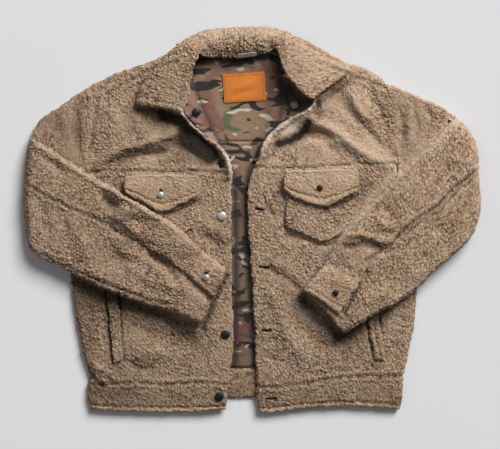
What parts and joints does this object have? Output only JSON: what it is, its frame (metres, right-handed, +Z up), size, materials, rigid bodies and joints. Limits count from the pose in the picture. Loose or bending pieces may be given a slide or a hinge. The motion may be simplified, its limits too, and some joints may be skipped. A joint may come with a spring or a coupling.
{
  "type": "sherpa trucker jacket",
  "caption": "Button-front sherpa trucker jacket laid flat, with open collar, camouflage lining, flapped chest pockets, welt hand pockets and forearms folded over the front.",
  "frame": {"origin": "under the middle of the jacket, on the surface that it lies on", "axes": "+X across the jacket, towards the wearer's left sleeve, +Y towards the collar, +Z up out of the surface"},
  "size_m": [0.7985, 0.6773, 0.0495],
  "materials": {
    "sherpa_tan": "curly sherpa pile, matt",
    "sherpa_back": "curly sherpa pile, matt",
    "camouflage": null,
    "label_orange": "woven label, stitched border, bare",
    "tape_cream": "woven tape",
    "metal_black": "black snap cap, satin",
    "metal_nickel": "nickel snap cap"
  },
  "bodies": {
    "root": {"back": "sherpa_back", "waistband_back": "sherpa_back", "lining_neck": "camouflage", "lining_back": "camouflage", "facing_neck_r": "camouflage", "facing_neck_l": "camouflage", "shoulder_r": "sherpa_tan", "shoulder_l": "sherpa_tan", "yoke_front_r": "sherpa_tan", "yoke_front_l": "sherpa_tan", "front_r": "sherpa_tan", "front_l": "sherpa_tan", "waistband_front_r": "sherpa_tan", "waistband_front_l": "sherpa_tan", "pouch_chest_r": "sherpa_tan", "pouch_chest_l": "sherpa_tan", "flap_chest_r": "sherpa_tan", "flap_chest_l": "sherpa_tan", "welt_hand_r": "sherpa_tan", "welt_hand_l": "sherpa_tan", "sleeve_upper_r": "sherpa_tan", "sleeve_upper_l": "sherpa_tan", "sleeve_elbow_r": "sherpa_tan", "sleeve_elbow_l": "sherpa_tan", "sleeve_outer_r": "sherpa_tan", "sleeve_outer_l": "sherpa_tan", "sleeve_inner_r": "sherpa_tan", "sleeve_inner_l": "sherpa_tan", "cuff_r": "sherpa_tan", "cuff_l": "sherpa_tan", "cuff_tab_r": "sherpa_tan", "cuff_tab_l": "sherpa_tan", "collar_upper": "sherpa_tan", "collar_under": "sherpa_tan", "hanger_loop": "tape_cream", "label": "label_orange", "button_front_1": "metal_black", "button_front_2": "metal_nickel", "button_front_3": "metal_nickel", "button_front_4": "metal_black", "button_front_5": "metal_black", "snap_flap_r": "metal_nickel", "snap_flap_l": "metal_black", "snap_cuff_r": "metal_nickel", "snap_cuff_l": "metal_black", "snap_neck_r": "metal_black", "snap_neck_l": "metal_nickel"}
  },
  "joints": []
}
